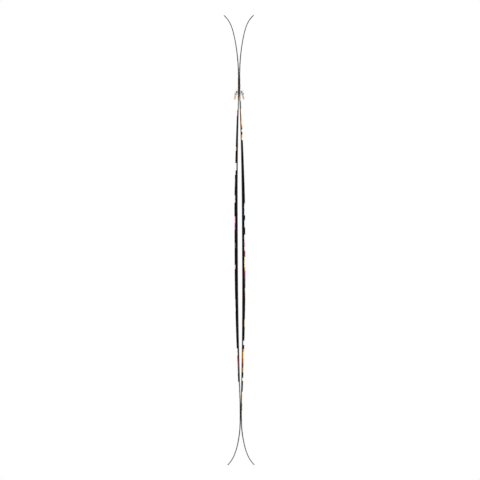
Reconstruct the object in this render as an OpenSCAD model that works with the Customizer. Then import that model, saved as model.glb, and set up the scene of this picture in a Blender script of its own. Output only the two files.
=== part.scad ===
// A pair of twin-tip cross-country skis, held base to base by one sprung clip.
// The pair is upright: Z runs up the skis from tail to tip, X is their thickness
// and Y is their width. The bases face each other across the plane x = 0, and the
// origin is the point midway between the two tail ends.

/* [Ski outline] */
// Length from the tail end to the tip end
ski_len = 1790; // [1700:10:1850]
// Width at the shovel, the widest point near the tip
shovel_w = 78; // [74:1:80]
// Width at the waist
waist_w = 61; // [58:1:66]
// Width at the tail's widest point
tail_w = 69; // [66:1:72]

/* [Ski side profile] */
// Thickness under the boot
mid_t = 13.4; // [12:0.2:15]
// Thickness at the tip and tail ends
end_t = 3.6; // [3.4:0.1:4]
// How far the tip end turns up
tip_rise = 58; // [48:1:62]
// Length of ski that the tip's curve takes
tip_run = 245; // [235:1:255]
// How far the tail end turns up
tail_rise = 52; // [44:1:56]
// Length of ski that the tail's curve takes
tail_run = 182; // [175:1:200]
// Arch of each ski, before the flat stretch cuts off the arch's crest
camber = 8.3; // [6:0.1:10]
// Length of the flat stretch that takes the binding
binding_len = 280; // [240:10:300]

/* [Ski layers] */
// Thickness of the running base
base_t = 1.3; // [1.2:0.05:1.4]
// Depth of the groove down the base
groove_depth = 0.5; // [0.3:0.1:0.8]
// Width of the groove down the base
groove_w = 5; // [4:0.5:8]
// Height of the steel edge
edge_h = 1.9; // [1.85:0.05:2]
// Width of the steel edge's running face
edge_w = 2; // [1.8:0.1:2.4]
// Thickness of the edge's tang, which lies on the base
tang_t = 0.3; // [0.25:0.05:0.35]
// Width from the ski's side to the end of the tang
tang_reach = 5.5; // [5:0.1:6]
// Thickness of the glass laminate where it lies over the edges
laminate_t = 0.3; // [0.25:0.05:0.35]
// Thickness of the upper glass laminate
cap_laminate_t = 0.4; // [0.3:0.05:0.4]
// Thickness of the topsheet
sheet_t = 0.4; // [0.3:0.05:0.4]
// Width of the rails at the sides of the core
rail_w = 5; // [4:0.5:6]
// Thickness of the screw mat under the binding
mat_t = 1; // [0.8:0.1:1.4]

/* [Clip] */
// Height of the clip's pivots under the tip end
clip_drop = 314; // [308:1:320]
// Half the width of the clip's rounded housing
housing_r = 21.5; // [21.3:0.1:22]
// Height of the housing's dome above its widest point
dome_h = 28; // [27:0.5:29]
// Wall of the clear housing
wall = 1.8; // [1.6:0.1:2]
// Thickness of the housing's end walls
end_wall = 2.5; // [2.4:0.1:3]
// Half the length of the housing across the skis
housing_half = 42; // [42:0.5:44]
// Half the slot that the skis pass through
slot_half = 6.9; // [6.8:0.1:7.2]
// Distance from the plane between the skis to a pivot
pivot_x = 12.5; // [12.4:0.1:12.6]
// Radius of a pivot pin
pin_r = 1.5; // [1.3:0.1:1.6]
// Radial play of a jaw on its pin
jaw_play = 0.06; // [0.04:0.01:0.08]

/* [Hidden] */

// Places along the ski
mid_z = ski_len / 2;
flat_half = binding_len / 2;
pivot_z = ski_len - clip_drop;
tip_z = ski_len - tip_run;
camber_low = 250;
camber_high = pivot_z;
clip_low = pivot_z - 2;
clip_high = pivot_z + 26;
tail_wide_z = 150;
waist_z = 850;
shovel_z = ski_len - 150;
core_low = 120;
core_high = ski_len - 200;
mat_half = 175;

// Sizes that take a cutting or bounding shape past the pieces on every side
past = 5;
wide = 100;
deep = 90;

// The two flares: an even curve, plus a steeper one that acts near the end
tip_bend = [0.66, 11];
tail_bend = [0.72, 8];

function flare(w, bend) = bend[0] * pow(w, 2) + (1 - bend[0]) * pow(w, bend[1]);
function arch_reach(z) = z < mid_z ? mid_z - camber_low : camber_high - mid_z;
function arch(z) = camber * max(0, 1 - pow(abs(z - mid_z) / arch_reach(z), 2.5));

// Distance from the plane between the skis to the base, at height z
function rise(z) =
    z > tip_z ? tip_rise * flare((z - tip_z) / tip_run, tip_bend) :
    z < tail_run ? tail_rise * flare((tail_run - z) / tail_run, tail_bend) :
    arch(z);

// The ski thins out from the flat stretch to both ends, later towards the tail
tail_taper = [1.5, 1.7];
tip_taper = [1.2, 2];
function beyond_flat(z) = max(0, min(1, (abs(z - mid_z) - flat_half) / (mid_z - flat_half)));
function taper(w, powers) = pow(1 - pow(w, powers[0]), powers[1]);
function thick(z) =
    end_t + (mid_t - end_t) * taper(beyond_flat(z), z < mid_z ? tail_taper : tip_taper);

// A point d above the base, square to it
function slope(z) = (rise(z + 0.01) - rise(z - 0.01)) / 0.02;
function skin(z, d) =
    let (s = slope(z), q = sqrt(1 + s * s))
    [rise(z) + d / q, z - d * s / q];

function steps(from, to, n) = [for (k = [0:n - 1]) from + (to - from) * k / n];
function reverse(list) = [for (k = [len(list) - 1:-1:0]) list[k]];

// Heights at which the side profile has a point: closer together where it bends
flare_steps = 18;
stations = concat(
    [for (k = [0:flare_steps - 1]) tail_run * (1 - cos(90 * k / flare_steps))],
    steps(tail_run, camber_low, 2),
    steps(camber_low, mid_z - flat_half, 8),
    [mid_z - flat_half],
    steps(mid_z + flat_half, clip_low, 7),
    [clip_low, clip_high],
    [for (k = [0:flare_steps]) tip_z + tip_run * sin(90 * k / flare_steps)]
);

function above_base(d) = [for (z = stations) skin(z, d)];
function below_top(d) = [for (z = stations) skin(z, thick(z) - d)];

// Half outline, as [y, z] points from the tail end to the tip end, set in from the
// ski's side by a distance. A round end is a superellipse with a short flat.
end_steps = 9;
end_cut = 84;
function half_end(half_w, wide_z, end_z, power) = [
    for (k = [1:end_steps]) let (a = end_cut * k / end_steps)
    [
        half_w * cos(a),
        wide_z + (end_z - wide_z) * (k == end_steps ? 1 : pow(sin(a), 2 / power))
    ]
];
function waisted(half_w, s) = (half_w - waist_w / 2) * (5 * pow(s, 2) - 2 * pow(s, 5)) / 3;
function half_outline(inset) = concat(
    reverse(half_end(tail_w / 2 - inset, tail_wide_z, inset, 2.6)),
    [for (k = [0:4]) [waist_w / 2 - inset + waisted(tail_w / 2, 1 - k / 5),
        tail_wide_z + (waist_z - tail_wide_z) * k / 5]],
    [for (k = [0:6]) [waist_w / 2 - inset + waisted(shovel_w / 2, k / 6),
        waist_z + (shovel_z - waist_z) * k / 6]],
    half_end(shovel_w / 2 - inset, shovel_z, ski_len - inset, 2.3)
);
function across(points) = [for (p = points) [-p[0], p[1]]];
function outline(inset) = concat(half_outline(inset), reverse(across(half_outline(inset))));

// One side of the strip between two insets, closed on the ski's centre line
function half_ring(outer, inner) = concat(
    [[0, outer]], half_outline(outer), [[0, ski_len - outer]],
    [[0, ski_len - inner]], reverse(half_outline(inner)), [[0, inner]]
);

// One side of the strip between two insets, over part of the length
function strip(outer, inner, low, high) =
    let (run = [low, high])
    concat(
        cut_run(half_outline(outer), run),
        reverse(cut_run(half_outline(inner), run))
    );
function width_at(points, z) = lookup(z, [for (p = points) [p[1], p[0]]]);
function cut_run(points, run) = concat(
    [[width_at(points, run[0]), run[0]]],
    [for (p = points) if (p[1] > run[0] && p[1] < run[1]) p],
    [[width_at(points, run[1]), run[1]]]
);

// Solid between two side lines, over the full width
module slab(lower, upper) {
    rotate([90, 0, 0])
        linear_extrude(height = wide, center = true)
            polygon(concat(lower, reverse(upper)));
}

// Solid through the full thickness, with a given plan shape
module plan(points) {
    translate([-past, 0, 0])
        rotate([90, 0, 90])
            linear_extrude(height = deep)
                polygon(points);
}

// A layer of the ski between two side lines, with a given plan shape
module ply(lower, upper, points) {
    intersection() {
        slab(lower, upper);
        plan(points);
    }
}

// The modelled side is at +X, and the left ski and jaw are its mirror image
module on_side(side) {
    if (side < 0)
        mirror([1, 0, 0])
            children();
    else
        children();
}

core_floor = edge_h + laminate_t;
cap_inset = sheet_t + cap_laminate_t;
mat_inset = 8;

module base(side) {
    color("dimgray")
        on_side(side)
            difference() {
                ply(above_base(0), above_base(base_t), outline(edge_w));
                ply(above_base(-past), above_base(groove_depth), groove_plan());
            }
}
function groove_plan() =
    let (g = groove_w / 2, low = tail_run, high = tip_z)
    [[-g, low], [g, low], [g, high], [-g, high]];

// Front is the side at -Y
module edge(side, toward) {
    points = half_ring(0, edge_w);
    tang = half_ring(edge_w, tang_reach);
    color("silver")
        on_side(side)
            union() {
                ply(above_base(0), above_base(edge_h), toward < 0 ? across(points) : points);
                ply(
                    above_base(base_t), above_base(base_t + tang_t),
                    toward < 0 ? across(tang) : tang
                );
            }
}

module edge_foils(side) {
    points = half_ring(edge_w, tang_reach);
    color("black")
        on_side(side)
            for (shape = [points, across(points)])
                ply(above_base(base_t + tang_t), above_base(edge_h), shape);
}

module bottom_laminate(side) {
    color("palegoldenrod")
        on_side(side)
            union() {
                ply(above_base(edge_h), above_base(core_floor), outline(0));
                ply(above_base(base_t), above_base(edge_h), outline(tang_reach));
            }
}

// A box across the ski between two heights, for cutting the inner pieces to length
module reach(low, high) {
    translate([-past, -wide / 2, low])
        cube([deep, wide, high - low]);
}

module core(side) {
    color("burlywood")
        on_side(side)
            difference() {
                intersection() {
                    ply(
                        above_base(core_floor), below_top(cap_inset),
                        outline(cap_inset + rail_w)
                    );
                    reach(core_low, core_high);
                }
                mat_shape();
            }
}

module side_rail(side, toward) {
    points = strip(cap_inset, cap_inset + rail_w, core_low, core_high);
    color("dimgray")
        on_side(side)
            ply(
                above_base(core_floor), below_top(cap_inset),
                toward < 0 ? across(points) : points
            );
}

module tip_spacer(side) {
    color("gainsboro")
        on_side(side)
            intersection() {
                ply(above_base(core_floor), below_top(cap_inset), outline(cap_inset));
                reach(core_high, ski_len + past);
            }
}

module tail_spacer(side) {
    color("gainsboro")
        on_side(side)
            intersection() {
                ply(above_base(core_floor), below_top(cap_inset), outline(cap_inset));
                reach(-past, core_low);
            }
}

module mat_shape() {
    y = waist_w / 2 - mat_inset;
    low = mid_z - mat_half;
    high = mid_z + mat_half;
    ply(
        below_top(cap_inset + mat_t), below_top(cap_inset),
        [[-y, low], [y, low], [y, high], [-y, high]]
    );
}

module binding_mat(side) {
    color("peru")
        on_side(side)
            mat_shape();
}

module top_laminate(side) {
    color("khaki")
        on_side(side)
            difference() {
                ply(above_base(core_floor), below_top(sheet_t), outline(sheet_t));
                ply(above_base(core_floor - past), below_top(cap_inset), outline(cap_inset));
            }
}

module topsheet(side) {
    color("midnightblue")
        on_side(side)
            difference() {
                ply(above_base(core_floor), below_top(0), outline(0));
                ply(above_base(core_floor - past), below_top(sheet_t), outline(sheet_t));
            }
}

// The clip, in the XZ plane, with its pieces placed from the pivot
housing_low = pivot_z - 3;
dome_low = pivot_z + 6;
dome_power = 1.75;
dome_steps = 10;
skirt_in = 1.3;
pin_play = 0.02;
plate_t = 1.2;
plate_top = pivot_z + 3.5;
plate_bottom = 4.3;
plate_x = [8.3, 19.5];
rivet_r = 1;
rivet_at = [17.2, pivot_z + 1.6];
rivet_head_r = 1.6;
rivet_head_t = 0.5;
rivet_in = 0.2;
pin_head_r = 2.6;
pin_tail_r = 2.2;
pin_head_t = 1;
pad_t = 1.1;
pad_gap = 0.05;
pad_low = pivot_z + 3.5;
pad_high = pivot_z + 15;
pad_half = 32.5;
carrier_t = 1.4;
barrel_r = 3.4;
barrel_half = housing_half - end_wall - 0.5;
lever_end = [5, -19];
lever_r = 3.5;
rib_x = 13.4;
rib_z = [pivot_z + 4.6, pivot_z + 12];
rib_half = 29;
buffer_play = 0.05;
buffer_half = 27;

// The topsheet's line along the clip, which is straight there
clip_line = [skin(clip_low, thick(clip_low)), skin(clip_high, thick(clip_high))];
function clip_face(z) = lookup(z, [for (p = clip_line) [p[1], p[0]]]);
carrier_x = clip_face(pad_low) + pad_gap + pad_t;

// Extrudes an XZ outline along Y between two values
module along_y(low, high) {
    translate([0, high, 0])
        rotate([90, 0, 0])
            linear_extrude(height = high - low)
                children();
}

function dome(r, h) =
    let (last = pow(1 - slot_half / r, 1 / dome_power))
    [for (k = [0:dome_steps]) let (s = last * k / dome_steps)
        [r * (1 - pow(s, dome_power)), dome_low + h * s]];
function housing_line(r, h) = concat([[r - skirt_in, housing_low]], dome(r, h));
function mirrored(points) = [for (p = points) [-p[0], p[1]]];
function arc(centre, r, from, to, n) = [
    for (k = [0:n]) let (a = from + (to - from) * k / n)
    centre + r * [cos(a), sin(a)]
];

// A round hole or shaft along Y
module rod(at, r, low, high) {
    along_y(low, high)
        translate(at)
            circle(r = r, $fn = 48);
}

// A hole right through the clip
module bore(at, r) {
    rod(at, r, -wide / 2, wide / 2);
}

module clip_housing() {
    outer = housing_line(housing_r, dome_h);
    inner = housing_line(housing_r - wall, dome_h - wall);
    ear = concat([[slot_half, housing_low]], outer);
    color([0.9, 0.93, 0.95, 0.4])
        difference() {
            union() {
                for (side = [-1, 1])
                    on_side(side) {
                        along_y(-housing_half, housing_half)
                            polygon(concat(outer, reverse(inner)));
                        along_y(-housing_half, -housing_half + end_wall)
                            polygon(ear);
                        along_y(-rib_half, rib_half)
                            polygon(rib_points());
                    }
                along_y(housing_half - end_wall, housing_half)
                    polygon(concat(outer, reverse(mirrored(outer))));
            }
            for (side = [-1, 1])
                on_side(side) {
                    bore([pivot_x, pivot_z], pin_r + pin_play);
                    bore(rivet_at, rivet_r + pin_play);
                }
        }
}
function rib_points() = [
    [rib_x, rib_z[0]],
    [housing_r - wall + 0.5, rib_z[0]],
    [housing_r - wall - 1, rib_z[1]],
    [rib_x, rib_z[1]]
];

// Jaw outline around its pivot: the pad's carrier above and the finger lever below
function jaw_points() =
    let (x = carrier_x - pivot_x, top = pad_high - pivot_z)
    concat(
        [[x, top - 0.6], [x, 2.2], [-2.2, -1.2], [-1.8, -4.5]],
        arc(lever_end, lever_r, 190, 360, 8),
        lever_grip(),
        [[5.6, -4.5], [2.6, -0.2], [1, 1.4], [x + carrier_t, 4.6]],
        [[x + carrier_t, top - 0.6], [x + carrier_t - 0.6, top], [x + 0.6, top]]
    );

// Three ridges up the outside of the lever
function lever_grip() = [
    for (k = [0:2], p = [[0, 0], [0.7, 1.1], [0, 2.2]])
    lever_end + [lever_r - 0.23 * (3 * k + p[1]) + p[0], 1 + 3 * k + p[1]]
];

// Jaw outline seen along X: wide at the pad, narrower at the fingers
function jaw_face() =
    let (side = [[33, 16], [33, -5], [28, -11], [28, -19], [25, -23]])
    concat(side, reverse(mirrored(side)));

module jaw(side) {
    color("burlywood")
        on_side(side)
            translate([pivot_x, 0, pivot_z])
                difference() {
                    union() {
                        intersection() {
                            along_y(-wide / 2, wide / 2)
                                polygon(jaw_points());
                            translate([-deep / 2, 0, 0])
                                rotate([90, 0, 90])
                                    linear_extrude(height = deep)
                                        polygon(jaw_face());
                        }
                        rod([0, 0], barrel_r, -barrel_half, barrel_half);
                    }
                    bore([0, 0], pin_r + jaw_play);
                }
}

module jaw_pad(side) {
    color("antiquewhite")
        on_side(side)
            along_y(-pad_half, pad_half)
                polygon([
                    [clip_face(pad_low) + pad_gap + 0.4, pad_low],
                    [clip_face(pad_low) + pad_gap, pad_low + 0.5],
                    [clip_face(pad_high) + pad_gap, pad_high - 1.1],
                    [clip_face(pad_high) + pad_gap + 0.4, pad_high - 0.6],
                    [carrier_x, pad_high - 0.6],
                    [carrier_x, pad_low]
                ]);
}

// The rubber spring between the carrier and the housing's rib
module buffer(side) {
    low = [carrier_x + carrier_t + buffer_play, rib_z[0] - 0.4];
    high = [rib_x - buffer_play, rib_z[1]];
    cut = 1;
    color("saddlebrown")
        on_side(side)
            along_y(-buffer_half, buffer_half)
                polygon([
                    [low[0], low[1] + cut], [low[0] + cut, low[1]],
                    [high[0] - cut, low[1]], [high[0], low[1] + cut],
                    [high[0], high[1] - cut], [high[0] - cut, high[1]],
                    [low[0] + cut, high[1]], [low[0], high[1] - cut]
                ]);
}

module pivot_pin(side) {
    end = housing_half + plate_t;
    color("silver")
        on_side(side) {
            rod([pivot_x, pivot_z], pin_r, -end, end);
            rod([pivot_x, pivot_z], pin_head_r, -end - pin_head_t, -end);
            rod([pivot_x, pivot_z], pin_tail_r, end, end + pin_head_t);
        }
}

module pivot_plates(side) {
    mid = (plate_x[0] + plate_x[1]) / 2;
    half = (plate_x[1] - plate_x[0]) / 2;
    bowl = concat(
        [[plate_x[1], plate_top], [plate_x[0], plate_top]],
        [for (k = [0:10]) [mid - half * cos(18 * k), pivot_z - plate_bottom * sin(18 * k)]]
    );
    color("lightsteelblue")
        on_side(side)
            difference() {
                for (y = [-housing_half - plate_t, housing_half])
                    along_y(y, y + plate_t)
                        polygon(bowl);
                bore([pivot_x, pivot_z], pin_r + pin_play);
                bore(rivet_at, rivet_r + pin_play);
            }
}

module plate_rivets() {
    from = housing_half - end_wall - rivet_in;
    to = housing_half + plate_t;
    color("gray")
        for (side = [-1, 1], end = [0, 1])
            on_side(side)
                mirror([0, end, 0]) {
                    rod(rivet_at, rivet_r, from, to);
                    rod(rivet_at, rivet_head_r, to, to + rivet_head_t);
                }
}

base(-1);  // left_base
edge(-1, -1);  // left_edge_front
edge(-1, 1);  // left_edge_rear
edge_foils(-1);  // left_edge_foils
bottom_laminate(-1);  // left_bottom_laminate
core(-1);  // left_core
side_rail(-1, -1);  // left_side_rail_front
side_rail(-1, 1);  // left_side_rail_rear
tip_spacer(-1);  // left_tip_spacer
tail_spacer(-1);  // left_tail_spacer
binding_mat(-1);  // left_binding_mat
top_laminate(-1);  // left_top_laminate
topsheet(-1);  // left_topsheet
base(1);  // right_base
edge(1, -1);  // right_edge_front
edge(1, 1);  // right_edge_rear
edge_foils(1);  // right_edge_foils
bottom_laminate(1);  // right_bottom_laminate
core(1);  // right_core
side_rail(1, -1);  // right_side_rail_front
side_rail(1, 1);  // right_side_rail_rear
tip_spacer(1);  // right_tip_spacer
tail_spacer(1);  // right_tail_spacer
binding_mat(1);  // right_binding_mat
top_laminate(1);  // right_top_laminate
topsheet(1);  // right_topsheet
jaw(-1);  // left_jaw
jaw_pad(-1);  // left_jaw_pad
buffer(-1);  // left_buffer
pivot_pin(-1);  // left_pivot_pin
pivot_plates(-1);  // left_pivot_plates
jaw(1);  // right_jaw
jaw_pad(1);  // right_jaw_pad
buffer(1);  // right_buffer
pivot_pin(1);  // right_pivot_pin
pivot_plates(1);  // right_pivot_plates
clip_housing();
plate_rivets();
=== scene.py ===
"""A clipped pair of cross-country skis: its printed topsheets, bases, steel edges, rubber
buffers and all materials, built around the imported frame. Everything is in metres."""
import math

import bmesh
import bpy
import numpy as np
from mathutils import Euler, Matrix, Vector
from mathutils.bvhtree import BVHTree


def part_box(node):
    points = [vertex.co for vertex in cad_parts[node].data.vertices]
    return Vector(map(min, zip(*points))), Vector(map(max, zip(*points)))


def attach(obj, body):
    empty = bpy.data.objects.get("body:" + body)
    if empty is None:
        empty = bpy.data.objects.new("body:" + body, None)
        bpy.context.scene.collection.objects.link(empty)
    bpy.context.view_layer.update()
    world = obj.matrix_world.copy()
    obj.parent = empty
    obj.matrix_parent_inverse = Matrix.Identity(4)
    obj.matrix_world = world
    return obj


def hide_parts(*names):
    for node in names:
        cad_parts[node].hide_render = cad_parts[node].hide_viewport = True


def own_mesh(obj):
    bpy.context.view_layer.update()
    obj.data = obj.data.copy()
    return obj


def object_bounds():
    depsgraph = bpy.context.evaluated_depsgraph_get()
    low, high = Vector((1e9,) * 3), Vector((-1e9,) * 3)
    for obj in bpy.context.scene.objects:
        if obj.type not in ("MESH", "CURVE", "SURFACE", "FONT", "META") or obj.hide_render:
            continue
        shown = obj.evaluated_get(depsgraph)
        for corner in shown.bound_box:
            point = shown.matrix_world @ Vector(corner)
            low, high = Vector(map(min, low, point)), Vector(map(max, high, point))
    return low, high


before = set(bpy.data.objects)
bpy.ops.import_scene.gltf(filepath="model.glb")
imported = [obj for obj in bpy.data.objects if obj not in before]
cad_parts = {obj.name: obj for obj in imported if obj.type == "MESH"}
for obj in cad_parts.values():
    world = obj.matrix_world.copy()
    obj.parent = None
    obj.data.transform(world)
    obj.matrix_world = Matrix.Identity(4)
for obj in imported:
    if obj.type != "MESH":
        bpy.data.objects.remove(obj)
cad_low, cad_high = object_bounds()

MM = 0.001
SIDES = {"left": -1, "right": 1}
MERGE_GAP = 2e-6        # points closer than this are one point
scene = bpy.context.scene


# ---------------------------------------------------------------- the ski's lines
# They are measured on the right ski's CAD pieces, and the left ski is its mirror image.

def tree_of(*names):
    """A tree of the nodes' faces, for casting rays at them."""
    points, faces = [], []
    for name in names:
        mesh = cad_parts[name].data
        start = len(points)
        points += [v.co.copy() for v in mesh.vertices]
        faces += [[start + k for k in p.vertices] for p in mesh.polygons]
    return BVHTree.FromPolygons(points, faces)


SKI = tree_of("right_base", "right_edge_front", "right_edge_rear", "right_topsheet")
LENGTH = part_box("right_edge_rear")[1].z
BASE_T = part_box("right_edge_foils")[0].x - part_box("right_base")[0].x
EDGE_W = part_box("right_edge_rear")[1].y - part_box("right_base")[1].y
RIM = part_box("right_topsheet")[0].x
STEP = 1 * MM
GRID = np.arange(STEP / 2, LENGTH, STEP)
BESIDE_GROOVE = 3.5 * MM    # how far across the base its height is read
OUTSIDE = 50 * MM
FIT_REACH, FIT_REACH_AT_END, FIT_GROWTH = 35 * MM, 8 * MM, 0.15


def hit(origin, direction):
    """The first point of the ski that a ray meets."""
    return SKI.ray_cast(Vector(origin), Vector(direction))[0]


def fitted(values):
    """Value and slope at each height of GRID, from a parabola fitted around it."""
    out = []
    for k, z in enumerate(GRID):
        reach = min(FIT_REACH, FIT_REACH_AT_END + FIT_GROWTH * min(z, LENGTH - z))
        n = int(reach / STEP)
        part = slice(max(0, k - n), k + n + 1)
        _, slant, value = np.polyfit(GRID[part] - z, values[part], 2)
        out.append((value, slant))
    return np.array(out).T


RISE, SLOPE = fitted(np.array([hit((-MM, BESIDE_GROOVE, z), (1, 0, 0)).x for z in GRID]))
RISE = np.maximum(RISE, 0)


def rise(z):
    """Distance from the plane between the skis to the base, carried on past the ends."""
    inside = min(max(z, GRID[0]), GRID[-1])
    return float(np.interp(inside, GRID, RISE)) + (z - inside) * slope(inside)


def slope(z):
    return float(np.interp(z, GRID, SLOPE))


def thickness_at(z):
    """How far the topsheet's face is above the base, square to it."""
    q = math.hypot(1, slope(z))
    out = Vector((1 / q, 0, -slope(z) / q))
    foot = Vector((rise(z), BESIDE_GROOVE, z))
    return (hit(foot + OUTSIDE * out, -out) - foot).length


THICK = fitted(np.array([thickness_at(z) for z in GRID]))[0]


def thick(z):
    return float(np.interp(z, GRID, THICK))


def turned(a, b, c):
    """Positive when the way from a through b to c turns left."""
    return (b[0] - a[0]) * (c[1] - a[1]) - (b[1] - a[1]) * (c[0] - a[0])


STRAIGHT = 1e-9         # a turn as small as this is no corner
NARROWEST = 1 * MM


def end_corners(top):
    """The outline's corners at one end, as (half width, height), from the widest point out.
    The outline bulges outwards there, so its corners are those of the points' hull."""
    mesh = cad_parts["right_edge_rear"].data
    way = 1 if top else -1
    points = sorted({(round(way * v.co.z, 7), round(v.co.y, 7)) for v in mesh.vertices})
    points = [p for p in points if p[0] > way * LENGTH / 2]
    hull = []
    for p in points:
        while len(hull) > 1 and turned(hull[-2], hull[-1], p) > -STRAIGHT:
            hull.pop()
        hull.append(p)
    widest = max(range(len(hull)), key=lambda k: hull[k][1])
    return [np.array((y, way * z)) for z, y in hull[widest:] if y > NARROWEST]


CURVE_STEPS = 40


def curve_through(points, spacing):
    """A Catmull-Rom curve through the points, with steps of spacing(height) along it."""
    points = [2 * points[0] - points[1], *points, 2 * points[-1] - points[-2]]
    dense = []
    for a, b, c, d in zip(points, points[1:], points[2:], points[3:]):
        for t in np.linspace(0, 1, CURVE_STEPS, endpoint=False):
            dense.append(0.5 * (
                2 * b + (c - a) * t + (2 * a - 5 * b + 4 * c - d) * t ** 2
                + (3 * b - a - 3 * c + d) * t ** 3
            ))
    dense = np.array([*dense, points[-2]])
    run = np.r_[0, np.cumsum(np.linalg.norm(np.diff(dense, axis=0), axis=1))]
    at, stops = 0.0, []
    while at < run[-1]:
        stops.append(at)
        at += spacing(np.interp(at, run, dense[:, 1]))
    stops = np.array(stops) * run[-1] / at
    stops = np.r_[stops, run[-1]]
    return np.c_[np.interp(stops, run, dense[:, 0]), np.interp(stops, run, dense[:, 1])]


def corner_at(z):
    """The outline's point (half width, height) at a height."""
    return np.array((hit((rise(z) + MM, 1, z), (0, -1, 0)).y, z))


BODY_SPANS = 15
SPACING, SPACING_AT_END, SPACING_GROWTH = 12 * MM, 1.5 * MM, 0.06

TAIL, TIP = end_corners(top=False), end_corners(top=True)
BODY = [corner_at(z) for z in np.linspace(TAIL[0][1], TIP[0][1], BODY_SPANS + 1)[1:-1]]
OUTLINE = curve_through(
    [*TAIL[::-1], *BODY, *TIP],
    lambda z: min(SPACING, SPACING_AT_END + SPACING_GROWTH * min(z, LENGTH - z)),
)
TANGENT = np.gradient(OUTLINE, axis=0)
TANGENT /= np.linalg.norm(TANGENT, axis=1)[:, None]
STATIONS = [(z, (tz, ty)) for (_, z), (ty, tz) in zip(OUTLINE, TANGENT)]


def half_width(z):
    return float(np.interp(z, OUTLINE[:, 1], OUTLINE[:, 0]))


def place(z, d, inset=0.0, inward=(1, 0), share=1.0):
    """The point d above the base at station z of the outline, moved in by inset. inward
    is the way in as (across, up), and share is the part of the half width to take."""
    station = z + inset * inward[1]
    q = math.hypot(1, slope(station))
    height = station - d * slope(station) / q
    y = share * half_width(height - inset * inward[1]) - inset * inward[0]
    return Vector((rise(station) + d / q, y, height))


# ---------------------------------------------------------------- mesh helpers

def new_mesh(name, points, faces, lay=None, rim=None, smooth=True):
    """An object from points and faces, with a vector lay and a number rim on each point."""
    mesh = bpy.data.meshes.new(name)
    mesh.from_pydata([tuple(p) for p in points], [], faces)
    if lay is not None:
        attribute = mesh.attributes.new("lay", "FLOAT_VECTOR", "POINT")
        attribute.data.foreach_set("vector", np.array(lay, np.float32).ravel())
    if rim is not None:
        attribute = mesh.attributes.new("rim", "FLOAT", "POINT")
        attribute.data.foreach_set("value", np.array(rim, np.float32))
    work = bmesh.new()
    work.from_mesh(mesh)
    bmesh.ops.remove_doubles(work, verts=work.verts, dist=MERGE_GAP)
    bmesh.ops.dissolve_degenerate(work, dist=MERGE_GAP / 2, edges=work.edges)
    bmesh.ops.recalc_face_normals(work, faces=work.faces)
    for face in work.faces:
        face.smooth = smooth
    work.to_mesh(mesh)
    work.free()
    made = bpy.data.objects.new(name, mesh)
    scene.collection.objects.link(made)
    return made


def sheet_faces(rows, columns, start, flip=False):
    """Faces of a grid of points, whose first one is start."""
    faces = []
    for r in range(rows - 1):
        for c in range(columns - 1):
            a = start + r * columns + c
            face = [a, a + 1, a + 1 + columns, a + columns]
            faces.append(face[::-1] if flip else face)
    return faces


def rim_faces(rows, columns, first, second):
    """Faces that join the borders of two grids of the same size."""
    loop = list(range(columns))
    loop += [r * columns + columns - 1 for r in range(1, rows)]
    loop += [(rows - 1) * columns + c for c in range(columns - 2, -1, -1)]
    loop += [r * columns for r in range(rows - 2, 0, -1)]
    return [
        [first + a, second + a, second + b, first + b]
        for a, b in zip(loop, loop[1:] + loop[:1])
    ]


def shell(name, outer, inner, lay=None, rim=None):
    """A closed shell between two grids of points of the same size."""
    rows, columns = len(outer), len(outer[0])
    points = [p for grid in (outer, inner) for row in grid for p in row]
    if lay:
        lay = [v for row in lay for v in row] * 2
        rim = [v for row in rim for v in row] * 2
    faces = sheet_faces(rows, columns, 0) + sheet_faces(rows, columns, rows * columns, True)
    faces += rim_faces(rows, columns, 0, rows * columns)
    return new_mesh(name, points, faces, lay, rim)


def mirrored(points, side):
    return [Vector((side * p.x, p.y, p.z)) for p in points]


def joined(rings, around):
    """Faces of a tube of closed rings of points, with its two ends closed."""
    faces = [
        [around * r + k, around * r + (k + 1) % around,
         around * (r + 1) + (k + 1) % around, around * (r + 1) + k]
        for r in range(rings - 1) for k in range(around)
    ]
    return faces + [list(range(around))[::-1], list(range(around * (rings - 1), around * rings))]


def even_shading(piece):
    piece.modifiers.new("normals", "WEIGHTED_NORMAL")


SHARP_ANGLE = math.radians(32)


def soften(piece, width):
    """Rounds a piece's sharp edges and shades its shallow ones smooth."""
    piece.data.polygons.foreach_set("use_smooth", [True] * len(piece.data.polygons))
    piece.modifiers.new("weld", "WELD").merge_threshold = MERGE_GAP / 2
    if width:
        bevel = piece.modifiers.new("bevel", "BEVEL")
        bevel.width = width
        bevel.segments = 2
        bevel.limit_method = "ANGLE"
        bevel.angle_limit = SHARP_ANGLE
        bevel.use_clamp_overlap = True
    even_shading(piece)


# ---------------------------------------------------------------- node helpers

def new_material(name):
    made = bpy.data.materials.new(name)
    made.use_nodes = True
    tree = made.node_tree
    return made, tree, tree.nodes["Principled BSDF"]


def put(tree, kind, inputs=(), **settings):
    """A new shader node. An input is a value, or the output socket to link from."""
    made = tree.nodes.new("ShaderNode" + kind)
    for key, value in settings.items():
        setattr(made, key, value)
    feed(tree, made, inputs)
    return made


def feed(tree, made, inputs):
    """Sets a node's inputs to values, or links them from output sockets."""
    for key, value in dict(inputs).items():
        if isinstance(value, bpy.types.NodeSocket):
            tree.links.new(value, made.inputs[key])
        else:
            made.inputs[key].default_value = value


def maths(tree, operation, a, b=0.0, c=0.0):
    return put(tree, "Math", {0: a, 1: b, 2: c}, operation=operation).outputs[0]


def spread(tree, value, low, high, to_low=0.0, to_high=1.0):
    """Maps low to high onto to_low to to_high, and stays within those."""
    return put(tree, "MapRange", {
        "Value": value, "From Min": low, "From Max": high, "To Min": to_low, "To Max": to_high
    }).outputs[0]


MIX_SHARE, MIX_A, MIX_B, MIX_RESULT = 0, 6, 7, 2      # the Mix node's colour sockets


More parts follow.
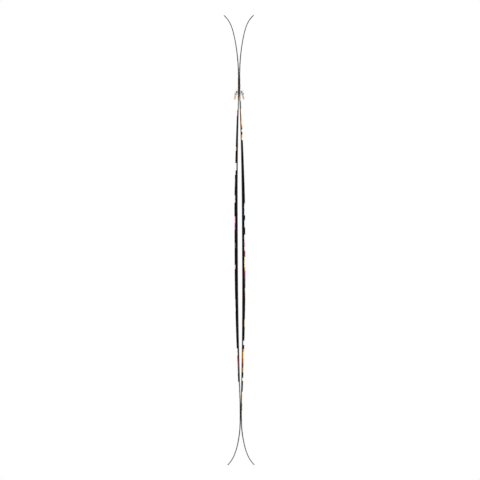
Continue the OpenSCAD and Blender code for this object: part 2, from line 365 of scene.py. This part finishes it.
def blended(tree, share, a, b):
    """Colour a where share is 0, and colour b where it is 1."""
    inputs = {MIX_SHARE: share, MIX_A: a, MIX_B: b}
    return put(tree, "Mix", inputs, data_type="RGBA").outputs[MIX_RESULT]


def noise(tree, vector, scale, detail, rough=0.5, stretch=None):
    """Noise from 0 to 1. The stretch is a scale of its own for each axis."""
    if stretch:
        vector = put(tree, "Mapping", {"Vector": vector, "Scale": stretch}).outputs[0]
    return put(tree, "TexNoise", {
        "Vector": vector, "Scale": scale, "Detail": detail, "Roughness": rough
    }).outputs[0]


def here(tree):
    return put(tree, "TexCoord").outputs["Object"]


def wave(tree, value, length):
    """A sine wave along value, with crests length apart."""
    return maths(tree, "SINE", maths(tree, "MULTIPLY", value, 2 * math.pi / length))


def bumped(tree, shader, height, distance, strength):
    bump = put(tree, "Bump", {"Height": height, "Distance": distance, "Strength": strength})
    feed(tree, shader, {"Normal": bump.outputs[0]})


def rgba(colour):
    return (*colour, 1.0)


# ---------------------------------------------------------------- the print
KEYLINE = (0.004, 0.003, 0.003)
SCUFFED = (0.5, 0.5, 0.5)
INK = {
    "white": (0.77, 0.77, 0.76),
    "black": (0.002, 0.002, 0.003),
    "navy": (0.007, 0.008, 0.014),
    "grey": (0.30, 0.30, 0.31),
    "slate": (0.12, 0.14, 0.19),
    "lilac": (0.16, 0.15, 0.20),
    "sky": (0.62, 0.74, 0.90),
    "cream": (0.88, 0.74, 0.50),
    "peach": (0.80, 0.46, 0.28),
    "gold": (0.78, 0.42, 0.10),
    "yellow": (0.95, 0.66, 0.16),
    "orange": (0.88, 0.33, 0.08),
    "rust": (0.46, 0.13, 0.04),
    "crimson": (0.46, 0.03, 0.07),
    "maroon": (0.13, 0.03, 0.04),
    "plum": (0.11, 0.03, 0.10),
    "pink": (0.90, 0.40, 0.58),
    "orchid": (0.62, 0.16, 0.50),
}

# Each patch: the height where it starts, in mm from the tail, its ink beside the steel edge,
# its ink towards the face, and the share of the side's height that the first ink covers.
PRINT = {
    "left": [
        (0, "white", "white", 1), (205, "black", "white", 0.5), (230, "white", "white", 1),
        (328, "black", "grey", 0.98), (365, "navy", "grey", 0.6), (390, "crimson", "pink", 0.8),
        (412, "maroon", "peach", 0.8), (433, "navy", "white", 0.6), (460, "black", "black", 1),
        (608, "black", "white", 0.93), (657, "black", "navy", 0.96),
        (776, "black", "pink", 0.74), (794, "black", "navy", 0.85),
        (860, "black", "lilac", 0.74), (882, "black", "navy", 0.85),
        (930, "black", "orchid", 0.76), (960, "black", "pink", 0.75),
        (990, "black", "navy", 0.88), (1040, "black", "sky", 0.76),
        (1072, "black", "navy", 0.88), (1102, "black", "lilac", 0.78),
        (1138, "black", "navy", 0.94), (1156, "black", "white", 0.75),
        (1168, "grey", "white", 0.5), (1200, "black", "black", 0.95),
        (1247, "black", "peach", 0.7), (1264, "black", "black", 1),
        (1343, "black", "navy", 0.95), (1388, "maroon", "peach", 0.72),
        (1405, "gold", "cream", 0.7), (1415, "white", "white", 1),
        (1453, "orange", "peach", 0.8), (1464, "black", "white", 0.8),
        (1500, "black", "grey", 0.68), (1528, "black", "white", 0.85),
        (1546, "orange", "peach", 0.6), (1566, "navy", "grey", 0.8),
        (1574, "white", "white", 1),
    ],
    "right": [
        (0, "white", "white", 1), (212, "black", "grey", 0.6), (230, "slate", "grey", 0.9),
        (246, "gold", "cream", 0.7), (278, "white", "white", 1), (290, "black", "navy", 0.98),
        (334, "white", "white", 1), (346, "black", "navy", 0.92), (366, "rust", "gold", 0.6),
        (388, "plum", "peach", 0.8), (405, "rust", "orange", 0.6),
        (422, "orange", "yellow", 0.6), (450, "rust", "orange", 0.6),
        (461, "black", "black", 0.95), (477, "grey", "white", 0.5),
        (494, "black", "navy", 0.93), (550, "black", "gold", 0.77),
        (580, "black", "navy", 0.92), (668, "black", "rust", 0.82),
        (684, "black", "white", 0.86), (700, "black", "maroon", 0.74),
        (720, "black", "slate", 0.76), (746, "black", "crimson", 0.66),
        (770, "black", "gold", 0.68), (786, "black", "cream", 0.66),
        (827, "black", "crimson", 0.69), (850, "black", "white", 0.68),
        (867, "black", "pink", 0.69), (884, "black", "white", 0.68),
        (913, "black", "navy", 0.85), (945, "black", "sky", 0.74), (975, "black", "navy", 0.86),
        (993, "black", "sky", 0.7), (1041, "black", "navy", 0.8), (1166, "black", "black", 0.9),
        (1216, "black", "navy", 0.97), (1291, "gold", "cream", 0.45),
        (1304, "gold", "yellow", 0.6), (1314, "black", "grey", 0.8),
        (1323, "grey", "white", 0.35), (1333, "black", "grey", 0.8),
        (1343, "rust", "orange", 0.7), (1353, "gold", "yellow", 0.6),
        (1374, "slate", "sky", 0.6), (1383, "orange", "yellow", 0.6),
        (1396, "gold", "cream", 0.5), (1415, "slate", "grey", 0.45),
        (1447, "white", "white", 1), (1466, "black", "white", 0.5),
        (1502, "black", "white", 0.8), (1550, "grey", "white", 0.4),
        (1562, "white", "white", 1),
    ],
}
RAMP_STOPS = 30         # a ramp takes no more than 32


def banded(tree, along, patches, pick):
    """The value that pick gives for the patch at each height, by ramps of constant steps."""
    result = None
    for first in range(0, len(patches), RAMP_STOPS):
        part = patches[first:first + RAMP_STOPS]
        low = part[0][0] * MM
        high = patches[min(first + RAMP_STOPS, len(patches) - 1)][0] * MM + MM
        ramp = put(tree, "ValToRGB", {"Fac": spread(tree, along, low, high)})
        ramp.color_ramp.interpolation = "CONSTANT"
        stops = ramp.color_ramp.elements
        while len(stops) < len(part):
            stops.new(1.0)
        for stop, patch in zip(stops, part):
            stop.position = (patch[0] * MM - low) / (high - low)
            stop.color = rgba(pick(patch))
        if result is None:
            result = ramp.outputs[0]
        else:
            past = maths(tree, "GREATER_THAN", along, low)
            result = blended(tree, past, result, ramp.outputs[0])
    return result


RAGGED = 9 * MM               # how far a band's border wanders on the side
SIDE_TO_FACE = 20 * MM        # the width over which the free pattern sets in
LEANING = 0.9                 # how far the bands lean over the face, for each step across
KEYLINE_WIDTH, KEYLINE_WAVE = 1.6 * MM, 0.8 * MM


def centred(tree, value, width):
    """A value from 0 to 1, spread over width and centred on 0."""
    return maths(tree, "MULTIPLY_ADD", value, width, -width / 2)


def print_material(name, patches, seed):
    """Satin printed topsheet. The lay attribute holds (along, across, share of the side's
    height). The bands run square up the front side, and lean and wander over the face. The
    rim attribute is the distance from the steel edge, beside which runs a dark keyline."""
    made, tree, shader = new_material(name)
    lay = put(tree, "Attribute", attribute_name="lay").outputs["Vector"]
    rim = put(tree, "Attribute", attribute_name="rim").outputs["Fac"]
    along, across, height = put(tree, "SeparateXYZ", {0: lay}).outputs
    spot = here(tree)

    # Which band a point lies in
    shifted = put(tree, "Mapping", {"Vector": lay, "Location": (seed, 0, 0)}).outputs[0]
    wander = noise(tree, shifted, 11, 1.5, 0.4, stretch=(1, 2.0, 0))
    curls = noise(tree, shifted, 30, 1, 0.3, stretch=(1, 1.2, 0))
    cut_out = noise(tree, spot, 95, 1)
    away = spread(tree, across, 0.0, SIDE_TO_FACE)
    lean = maths(tree, "MULTIPLY", across, LEANING)
    swing, curl = centred(tree, wander, 0.36), centred(tree, curls, 0.08)
    moved = maths(tree, "MULTIPLY", away, maths(tree, "ADD", swing, curl))
    along = maths(tree, "ADD", along, centred(tree, cut_out, RAGGED))
    along = maths(tree, "ADD", along, maths(tree, "ADD", lean, moved))

    # Which of the band's two inks it has
    inner = banded(tree, along, patches, lambda p: INK[p[1]])
    outer = banded(tree, along, patches, lambda p: INK[p[2]])
    reach = banded(tree, along, patches, lambda p: (p[3],) * 3)
    frayed = centred(tree, noise(tree, spot, 130, 2), 0.24)
    lobes = maths(tree, "MULTIPLY", away, maths(tree, "MULTIPLY_ADD", curls, 1.8, -1.2))
    level = maths(tree, "ADD", maths(tree, "ADD", height, frayed), lobes)
    ink = blended(tree, maths(tree, "GREATER_THAN", level, reach), inner, outer)

    # The keyline, the print's grain, and scuffs along the shoulder
    wavy = maths(tree, "MULTIPLY_ADD", cut_out, KEYLINE_WAVE, KEYLINE_WIDTH)
    on_side = maths(tree, "LESS_THAN", height, 0.93)
    keyline = maths(tree, "MULTIPLY", on_side, maths(tree, "LESS_THAN", rim, wavy))
    ink = blended(tree, keyline, ink, rgba(KEYLINE))
    halftone = noise(tree, spot, 2600, 1)
    tint = spread(tree, halftone, 0.35, 0.65, 0.95, 1.03)
    toned = put(tree, "HueSaturation", {"Value": tint, "Color": ink}).outputs[0]
    scuffs = noise(tree, spot, 900, 4, 0.7, stretch=(1, 1, 0.12))
    near = spread(tree, height, 0.80, 0.92)
    past = spread(tree, height, 0.985, 1.0)
    worn = maths(tree, "MULTIPLY", near, maths(tree, "SUBTRACT", 1.0, past))
    chip = maths(tree, "MULTIPLY", worn, spread(tree, scuffs, 0.60, 0.66))
    toned = blended(tree, maths(tree, "MULTIPLY", chip, 0.25), toned, rgba(SCUFFED))

    handled = noise(tree, spot, 55, 4, 0.6, stretch=(1, 1, 0.2))
    gloss = spread(tree, handled, 0.3, 0.7, 0.24, 0.36)
    feed(tree, shader, {
        "Base Color": toned,
        "Roughness": maths(tree, "ADD", gloss, maths(tree, "MULTIPLY", chip, 0.3)),
        "Specular IOR Level": 0.08,
        "Coat Weight": 0.03,
        "Coat Roughness": 0.06,
    })
    orange_peel = noise(tree, spot, 340, 2)
    fine = maths(tree, "MULTIPLY_ADD", scuffs, 0.25, orange_peel)
    bumped(tree, shader, fine, 0.03 * MM, 0.5)
    return made


# ---------------------------------------------------------------- other materials

def base_material():
    """Sintered base: black, with fine structure lines along the ski and dry grey hairs."""
    made, tree, shader = new_material("sintered_base")
    spot = here(tree)
    lines = noise(tree, spot, 1, 2, 0.6, stretch=(0, 1500, 12))
    hairs = noise(tree, spot, 1, 4, 0.7, stretch=(0, 900, 6))
    dry = noise(tree, spot, 14, 4, 0.6, stretch=(1, 1, 0.3))
    shade = spread(tree, lines, 0.3, 0.7, 0.012, 0.03)
    tone = blended(tree, spread(tree, hairs, 0.62, 0.8, 0, 0.5), rgba((0.016, 0.016, 0.018)),
                   rgba((0.075, 0.074, 0.074)))
    feed(tree, shader, {
        "Base Color": blended(tree, shade, tone, rgba((0.4, 0.4, 0.4))),
        "Roughness": spread(tree, dry, 0.3, 0.7, 0.36, 0.55),
        "Specular IOR Level": 0.4,
    })
    bumped(tree, shader, lines, 0.04 * MM, 0.8)
    return made


def metal(tree, shader, spot, stretch, colours, tarnish, rough):
    """Ground or brushed metal: the scratches run the way in which stretch is small. The
    colours are its own, its tarnish's and its scratches'. Gives its tone and its clouds."""
    colour, dark, scratched = (rgba(c) for c in colours)
    scratches = noise(tree, spot, 1, 4, 0.7, stretch=stretch)
    clouds = noise(tree, spot, 60, 4, 0.6)
    tone = blended(tree, spread(tree, clouds, 0.4, 0.75, 0, tarnish), colour, dark)
    tone = blended(tree, spread(tree, scratches, 0.45, 0.75, 0, 0.4), tone, scratched)
    feed(tree, shader, {
        "Base Color": tone,
        "Roughness": spread(tree, scratches, 0.3, 0.7, *rough),
    })
    bumped(tree, shader, scratches, 0.015 * MM, 0.5)
    return tone, clouds


def steel_material(name, colour, stretch, rough, tarnish, metallic=1.0):
    """Bare or plated steel."""
    made, tree, shader = new_material(name)
    dark, scratched = (tuple(share * c for c in colour) for share in (0.55, 0.75))
    metal(tree, shader, here(tree), stretch, (colour, dark, scratched), tarnish, rough)
    feed(tree, shader, {"Metallic": metallic})
    return made


# The heights between which the skis touch, and how far the painted shade on their steel fades
# beyond them
TOUCHING = ((0.188, 0.236), (1.468, 1.575))
SHADE_FADE = 8 * MM


def edge_material():
    """Ground steel edges, with painted shade where the skis touch each other."""
    made, tree, shader = new_material("ground_edge_steel")
    spot = here(tree)
    up = put(tree, "SeparateXYZ", {0: spot}).outputs[2]
    colours = (0.132, 0.124, 0.121), (0.075, 0.060, 0.052), (0.185, 0.176, 0.172)
    tone, clouds = metal(tree, shader, spot, (900, 900, 14), colours, 0.45, (0.32, 0.5))
    # Painted shade: in patches, the steel is darkened to near black where the skis touch, standing
    # in for the shade between them
    for low, high in TOUCHING:
        mask = maths(tree, "MULTIPLY", spread(tree, up, low - SHADE_FADE, low),
                       spread(tree, up, high, high + SHADE_FADE, 1, 0))
        patchy_painted_shade = maths(tree, "MULTIPLY", mask, spread(tree, clouds, 0.3, 0.6, 0.75, 1))
        tone = blended(tree, patchy_painted_shade, tone, rgba((0.03, 0.026, 0.025)))
    feed(tree, shader, {"Base Color": tone, "Metallic": 1.0})
    return made


def plastic_material(name, colour, shade, rough=0.42, grain=1300, depth=0.03 * MM, specular=0.5):
    """Moulded plastic or rubber with a fine spark-eroded grain and slight colour flow."""
    made, tree, shader = new_material(name)
    spot = here(tree)
    flow = noise(tree, spot, 45, 3, 0.6)
    pits = noise(tree, spot, grain, 2, 0.6)
    mask = noise(tree, spot, 160, 4, 0.7)
    tone = blended(tree, spread(tree, flow, 0.3, 0.7), rgba(colour), rgba(shade))
    feed(tree, shader, {
        "Base Color": tone,
        "Roughness": spread(tree, mask, 0.3, 0.7, rough - 0.08, rough + 0.1),
        "Specular IOR Level": specular,
    })
    bumped(tree, shader, pits, depth, 0.7)
    return made


KNURL_PITCH = 1.8 * MM
THREAD_PITCH = 1.6 * MM
STRIP_WIDTH = 9 * MM


def pad_material():
    """Soft grip pad with small diamond knurls."""
    made, tree, shader = new_material("grip_pad")
    spot = here(tree)
    _, across, up = put(tree, "SeparateXYZ", {0: spot}).outputs
    first, other = (
        wave(tree, maths(tree, way, across, up), KNURL_PITCH) for way in ("ADD", "SUBTRACT")
    )
    knurl = maths(tree, "MULTIPLY", first, other)
    dirt = noise(tree, spot, 120, 4, 0.6)
    feed(tree, shader, {
        "Base Color": blended(tree, spread(tree, dirt, 0.35, 0.75), rgba((0.86, 0.76, 0.62)),
                              rgba((0.70, 0.57, 0.42))),
        "Roughness": spread(tree, dirt, 0.3, 0.7, 0.55, 0.75),
        "Specular IOR Level": 0.35,
    })
    bumped(tree, shader, knurl, 0.12 * MM, 0.8)
    return made


def clear_material():
    """Clear moulded shell: nearly invisible face on, milky at the grazing edges."""
    made, tree, shader = new_material("clear_shell")
    spot = here(tree)
    haze = noise(tree, spot, 70, 4, 0.6)
    ripple = noise(tree, spot, 120, 2)
    edge_on = put(tree, "LayerWeight", {"Blend": 0.35}).outputs["Facing"]
    opacity = maths(tree, "ADD", spread(tree, edge_on, 0.15, 0.9, 0.04, 0.85),
                    spread(tree, haze, 0.4, 0.8, 0, 0.03))
    feed(tree, shader, {
        "Base Color": blended(tree, haze, rgba((0.58, 0.59, 0.60)), rgba((0.70, 0.71, 0.72))),
        "Roughness": spread(tree, haze, 0.3, 0.7, 0.06, 0.2),
        "Alpha": opacity,
    })
    bumped(tree, shader, ripple, 0.05 * MM, 0.35)
    return made


def weave_material(name, colour, shade):
    """Glass cloth in resin."""
    made, tree, shader = new_material(name)
    spot = here(tree)
    _, across, up = put(tree, "SeparateXYZ", {0: spot}).outputs
    warp, weft = (wave(tree, value, THREAD_PITCH) for value in (across, up))
    cloth = maths(tree, "MULTIPLY", warp, weft)
    fibres = noise(tree, spot, 900, 3)
    tone = blended(tree, spread(tree, cloth, -1, 1), rgba(colour), rgba(shade))
    feed(tree, shader, {"Base Color": tone, "Roughness": spread(tree, fibres, 0.3, 0.7, 0.3, 0.5)})
    bumped(tree, shader, cloth, 0.05 * MM, 0.6)
    return made


def wood_material():
    """Glued wood strips that run along the ski, each of its own tone."""
    made, tree, shader = new_material("wood_strips")
    spot = here(tree)
    across = put(tree, "SeparateXYZ", {0: spot}).outputs[1]
    strip = maths(tree, "FLOOR", maths(tree, "MULTIPLY", across, 1 / STRIP_WIDTH))
    grain = noise(tree, spot, 1, 5, 0.65, stretch=(700, 700, 18))
    tone = blended(tree, spread(tree, grain, 0.3, 0.7), rgba((0.60, 0.40, 0.22)),
                   rgba((0.40, 0.24, 0.12)))
    change = maths(tree, "FRACT", maths(tree, "MULTIPLY", strip, 0.37))
    tone = blended(tree, maths(tree, "MULTIPLY", change, 0.5), tone, rgba((0.74, 0.56, 0.36)))
    feed(tree, shader, {"Base Color": tone, "Roughness": spread(tree, grain, 0.3, 0.7, 0.5, 0.7)})
    bumped(tree, shader, grain, 0.05 * MM, 0.6)
    return made


# ---------------------------------------------------------------- the skis
SHOULDER = 1.2 * MM
SHEET = 0.4 * MM
END_WALL = 0.35 * MM
ARC = [math.radians(a) for a in (0, 18, 36, 54, 72, 90)]
WALL_SHARES = (0, 0.33, 0.67)
FACE_SHARES = (0.97, 0.9, 0.7, 0.45, 0.2, 0.0)
NO_LIMIT = 1.0          # higher than any ski is thick


def side_columns(t):
    """(height above the base, inset) up one side and over the rounded shoulder."""
    straight = [(RIM + f * (t - SHOULDER - RIM), 0.0) for f in WALL_SHARES]
    return straight + [
        (t - SHOULDER + SHOULDER * math.sin(a), SHOULDER * (1 - math.cos(a))) for a in ARC
    ]


def sheet_row(z, inward, limit, inner):
    """One row of topsheet points from the front rim over the face to the rear rim, each
    with its (along, across, share of the side's height) and its distance from the rim."""
    t = thick(min(max(z, 0), LENGTH))
    wall = SHEET if inner else 0.0
    half = []
    for d, inset in side_columns(t):
        d = min(d, limit, t - wall)
        point = place(z, d, max(inset, wall), inward)
        half.append((point, (d - RIM) / (t - RIM), d - RIM))
    top, lift, rim = half[-1]
    whole = half + [(Vector((top.x, f * top.y, top.z)), lift, rim) for f in FACE_SHARES]
    width = half_width(min(max(z, 0), LENGTH))
    row = []
    for way, part in ((-1, whole), (1, whole[-2::-1])):
        for k, (p, up, rim) in enumerate(part):
            on_side = (k if way < 0 else len(part) - 1 - k) < len(half)
            across = (0 if way < 0 else 2 * width) if on_side else width + way * p.y
            row.append((Vector((p.x, way * p.y, p.z)), (z, across, up), rim))
    return row


def sheet_end(end, way, inner):
    """The rows that go down a rounded end of the topsheet and its wall."""
    out = 0.0 if inner else END_WALL
    rows = []
    for d, inset in side_columns(thick(end))[::-1]:
        inset = max(inset - END_WALL, 0) if inner else inset
        rows.append(sheet_row(end + way * (inset - out), (1, 0), d, inner))
    return rows


def sheet_grid(inner):
    """The topsheet's outer or inner surface, from the tail to the tip."""
    rows = sheet_end(0.0, 1, inner)[::-1]
    clear = SHOULDER - END_WALL + 0.2 * MM
    for z, inward in STATIONS:
        if clear < z < LENGTH - clear:
            rows.append(sheet_row(z, inward, NO_LIMIT, inner))
    return rows + sheet_end(LENGTH, -1, inner)


def topsheet(name, side):
    outer, inner = sheet_grid(False), sheet_grid(True)
    return shell(
        f"{name}_topsheet_print",
        [mirrored([p for p, _, _ in row], side) for row in outer],
        [mirrored([p for p, _, _ in row], side) for row in inner],
        [[v for _, v, _ in row] for row in outer],
        [[rim for _, _, rim in row] for row in outer],
    )


def depth_at(z):
    """How deep the groove in the middle of the base is."""
    return hit((-MM, 0, z), (1, 0, 0)).x - rise(z)


GROOVED = [z for z in GRID if depth_at(z) > 0.2 * MM]
GROOVE_HALF = 2.5 * MM
GROOVE_DEPTH = depth_at(LENGTH / 2)
GROOVE_FADE = 14 * MM
GROOVE = [(0, 1), (0.4, 0.94), (0.75, 0.62), (0.92, 0.25), (1, 0)]
BESIDE_SHARES = (0.12, 0.4, 0.7, 0.92, 1)


def groove_run(z):
    """1 along the groove, fading to 0 where the tool lifts out at its ends."""
    share = min(z - GROOVED[0], GROOVED[-1] - z) / GROOVE_FADE
    share = min(max(share, 0), 1)
    return share * share * (3 - 2 * share)


def base_row(z, inward, d, cut):
    """One row of base points from the front to the rear, with the groove's curve if cut."""
    edge = place(z, d, EDGE_W, inward)
    g = min(GROOVE_HALF, 0.5 * edge.y)
    depth = GROOVE_DEPTH * groove_run(z) if cut else 0.0
    half = [(g * share, depth * deep) for share, deep in GROOVE]
    half += [(g + (edge.y - g) * f, 0.0) for f in BESIDE_SHARES]
    ys = [(-y, deep) for y, deep in half[::-1]] + half[1:]
    q = math.hypot(1, slope(z))
    return [Vector((edge.x + deep / q, y, edge.z)) for y, deep in ys]


def ski_base(name, side):
    grids = [
        [mirrored(base_row(z, inward, d, cut), side) for z, inward in STATIONS]
        for d, cut in ((0.0, True), (BASE_T, False))
    ]
    return shell(f"{name}_base_glide", *grids)


EDGE_TOP = RIM - 0.3 * MM
TANG, TANG_T = 5.5 * MM, 0.3 * MM
GROUND, BROKEN = 0.12 * MM, 0.1 * MM      # the edge's two corners
EDGE_PROFILE = [                          # (inset, height above the base)
    (GROUND, 0), (EDGE_W, 0), (EDGE_W, BASE_T), (TANG, BASE_T),
    (TANG, BASE_T + TANG_T), (EDGE_W, BASE_T + TANG_T), (EDGE_W, EDGE_TOP),
    (BROKEN, EDGE_TOP), (0, EDGE_TOP - BROKEN), (0, GROUND),
]
END_SHARES = (0, 0.35, 0.7, 0.93)


def edge_path():
    """The ski's outline from the middle of the tail end to the middle of the tip end, as
    (share of the half width, height, the way in)."""
    path = [(share, 0.0, (0.0, 1.0)) for share in END_SHARES]
    path += [(1.0, z, inward) for z, inward in STATIONS]
    return path + [(share, LENGTH, (0.0, -1.0)) for share in END_SHARES[::-1]]


def steel_edge(name, which, toward, side):
    """An edge strip with the tang that the laminate holds."""
    points = []
    path = edge_path()
    for share, z, inward in path:
        for inset, d in EDGE_PROFILE:
            p = place(z, d, inset, inward, share)
            points.append(Vector((side * p.x, toward * max(p.y, 0), p.z)))
    return new_mesh(f"{name}_edge_{which}_steel", points, joined(len(path), len(EDGE_PROFILE)))


def look_of(piece, material):
    piece.data.materials.clear()
    piece.data.materials.append(material)


def stands_for(piece, material, node):
    """Gives a new piece its look, and puts it in the place of a CAD node."""
    even_shading(piece)
    look_of(piece, material)
    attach(piece, "root")
    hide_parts(node)


PATTERN_SHIFT = {"left": 3.1, "right": 7.7}
base_look = base_material()
edge_look = edge_material()
for name, side in SIDES.items():
    look = print_material(f"{name}_print", PRINT[name], PATTERN_SHIFT[name])
    stands_for(topsheet(name, side), look, f"{name}_topsheet")
    stands_for(ski_base(name, side), base_look, f"{name}_base")
    for which, toward in (("front", -1), ("rear", 1)):
        edge = steel_edge(name, which, toward, side)
        stands_for(edge, edge_look, f"{name}_edge_{which}")


# ---------------------------------------------------------------- the clip
BUFFER_RINGS, BUFFER_AROUND = 121, 28
BUFFER_RIBS, RIB_DEPTH = 9, 0.10
BUFFER_SQUARE = 0.55          # 1 would make its section an ellipse, and 0 a box
BUFFER_ROUNDING = 1.4 * MM
BUFFER_END = (0.6, 0.72)      # how thick and how high its ends still are


def squared(value):
    return math.copysign(abs(value) ** BUFFER_SQUARE, value)


def rubber_buffer(name):
    """A ribbed rubber bar with rounded ends, in the space of its CAD solid."""
    low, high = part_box(f"{name}_buffer")
    middle, half = (low + high) / 2, (high - low) / 2
    points = []
    for t in np.linspace(-1, 1, BUFFER_RINGS):
        past = max(0.0, 1 - half.y * (1 - abs(t)) / BUFFER_ROUNDING)
        full = math.sqrt(1 - past ** 2)
        thin, tall = (end + (1 - end) * full for end in BUFFER_END)
        rib = 0.5 + 0.5 * math.cos(math.pi * BUFFER_RIBS * (t + 1))
        for k in range(BUFFER_AROUND):
            a = 2 * math.pi * k / BUFFER_AROUND
            c, s = math.cos(a), math.sin(a)
            ribbed = 1 - RIB_DEPTH * (1 - rib) * s * s
            points.append(middle + Vector((
                squared(c) * half.x * thin, t * half.y, squared(s) * half.z * ribbed * tall
            )))
    return new_mesh(f"{name}_buffer_rubber", points, joined(BUFFER_RINGS, BUFFER_AROUND))


rubber_look = plastic_material(
    "buffer_rubber", (0.165, 0.048, 0.018), (0.095, 0.028, 0.012), 0.55, 1600, 0.05 * MM, 0.25
)
jaw_look = plastic_material(
    "jaw_plastic", (0.60, 0.43, 0.28), (0.53, 0.365, 0.225), 0.40, 1500, 0.03 * MM
)
pad_look = pad_material()
pin_look = steel_material("turned_steel", (0.62, 0.62, 0.64), (40, 900, 40), (0.2, 0.34), 0.15)
plate_look = steel_material(
    "zinc_plated_steel", (0.62, 0.65, 0.70), (900, 30, 60), (0.30, 0.46), 0.2, metallic=0.55
)

for name, side in SIDES.items():
    buffer = rubber_buffer(name)
    stands_for(buffer, rubber_look, f"{name}_buffer")
    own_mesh(buffer)


def carried_over(node, material, width):
    """Gives a CAD node its look, and rounds its edges by width."""
    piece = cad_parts[node]
    look_of(piece, material)
    soften(piece, width)


for name in SIDES:
    carried_over(f"{name}_jaw", jaw_look, 0.3 * MM)
    carried_over(f"{name}_jaw_pad", pad_look, 0.2 * MM)
    carried_over(f"{name}_pivot_pin", pin_look, 0.15 * MM)
    carried_over(f"{name}_pivot_plates", plate_look, 0.15 * MM)
carried_over("plate_rivets", pin_look, 0.1 * MM)
carried_over("clip_housing", clear_material(), 0.25 * MM)

# The layers inside the skis
cloth_look = weave_material("glass_cloth", (0.20, 0.19, 0.14), (0.13, 0.125, 0.095))
rail_look = plastic_material("rail_plastic", (0.03, 0.03, 0.032), (0.05, 0.05, 0.05))
spacer_look = plastic_material("spacer_plastic", (0.70, 0.70, 0.68), (0.60, 0.60, 0.58))
INSIDE = {
    "edge_foils": plastic_material("foil_rubber", (0.02, 0.02, 0.02), (0.03, 0.03, 0.03), 0.7),
    "bottom_laminate": cloth_look,
    "top_laminate": cloth_look,
    "core": wood_material(),
    "side_rail_front": rail_look,
    "side_rail_rear": rail_look,
    "tip_spacer": spacer_look,
    "tail_spacer": spacer_look,
    "binding_mat": weave_material("screw_mat", (0.34, 0.22, 0.10), (0.24, 0.15, 0.07)),
}
for name in SIDES:
    for part, look in INSIDE.items():
        carried_over(f"{name}_{part}", look, 0)


# ---------------------------------------------------------------- light, floor, camera
MIDDLE = (cad_low + cad_high) / 2
VIEW_WIDTH = 1.908
CAMERA_AWAY = 6.0
CAMERA_RIGHT, CAMERA_UP = 0.4 * MM, 0.6 * MM
LEAN = math.radians(-0.285)
LAMPS, FIRST_LAMP_AT = 4, 45
LAMP_AWAY, LAMP_UP, LAMP_SIZE, LAMP_WATTS = 4.0, 1.3, 2.6, 125
AIR_LIGHT = 0.2
FLOOR_HALF, FLOOR_GAP = 9.0, 0.5 * MM
FLOOR_GLOW = 0.42
PURE_WHITE = (1, 1, 1, 1)


def build_world():
    """White behind the object, and a dimmer even light from all round."""
    world = bpy.data.worlds.new("studio")
    scene.world = world
    world.use_nodes = True
    tree = world.node_tree
    tree.nodes.clear()
    seen = put(tree, "LightPath").outputs["Is Camera Ray"]
    white = put(tree, "Background", {"Color": PURE_WHITE, "Strength": 1.0})
    soft = put(tree, "Background", {"Color": PURE_WHITE, "Strength": AIR_LIGHT})
    mix = put(tree, "MixShader", {0: seen, 1: soft.outputs[0], 2: white.outputs[0]})
    put(tree, "OutputWorld", {"Surface": mix.outputs[0]})


def build_lamps():
    """Large soft lamps in a ring around the object, aimed at its middle."""
    for k in range(LAMPS):
        turn = math.radians(FIRST_LAMP_AT + 360 / LAMPS * k)
        data = bpy.data.lights.new(f"lamp_{k}", "AREA")
        data.shape = "SQUARE"
        data.size = LAMP_SIZE
        data.energy = LAMP_WATTS
        lamp = bpy.data.objects.new(f"lamp_{k}", data)
        scene.collection.objects.link(lamp)
        away = Vector((math.sin(turn) * LAMP_AWAY, -math.cos(turn) * LAMP_AWAY, LAMP_UP))
        lamp.location = MIDDLE + away
        lamp.rotation_euler = (-away).to_track_quat("-Z", "Y").to_euler()


def build_floor():
    """A plain pale floor, just under the tails."""
    corners = ((-1, -1), (1, -1), (1, 1), (-1, 1))
    points = [(x * FLOOR_HALF, y * FLOOR_HALF, -FLOOR_GAP) for x, y in corners]
    floor = new_mesh("floor", points, [[0, 1, 2, 3]], smooth=False)
    made, tree, shader = new_material("pale_floor")
    grain = noise(tree, here(tree), 3, 3)
    feed(tree, shader, {
        "Base Color": blended(tree, grain, rgba((0.36, 0.36, 0.36)), rgba((0.40, 0.40, 0.40))),
        "Roughness": 0.8,
        "Specular IOR Level": 0.2,
        "Emission Color": PURE_WHITE,
        "Emission Strength": FLOOR_GLOW,
    })
    floor.data.materials.append(made)


def build_camera():
    """Level with the skis' middle and far to their front, turned to show them leaning."""
    data = bpy.data.cameras.new("camera")
    data.type = "ORTHO"
    data.ortho_scale = VIEW_WIDTH
    camera = bpy.data.objects.new("camera", data)
    scene.collection.objects.link(camera)
    camera.location = (CAMERA_RIGHT, -CAMERA_AWAY, MIDDLE.z + CAMERA_UP)
    level = Euler((math.pi / 2, 0, 0)).to_matrix()
    camera.rotation_euler = (level @ Matrix.Rotation(LEAN, 3, "Z")).to_euler()
    scene.camera = camera


build_world()
build_lamps()
build_floor()
build_camera()
scene.view_settings.view_transform = "Standard"
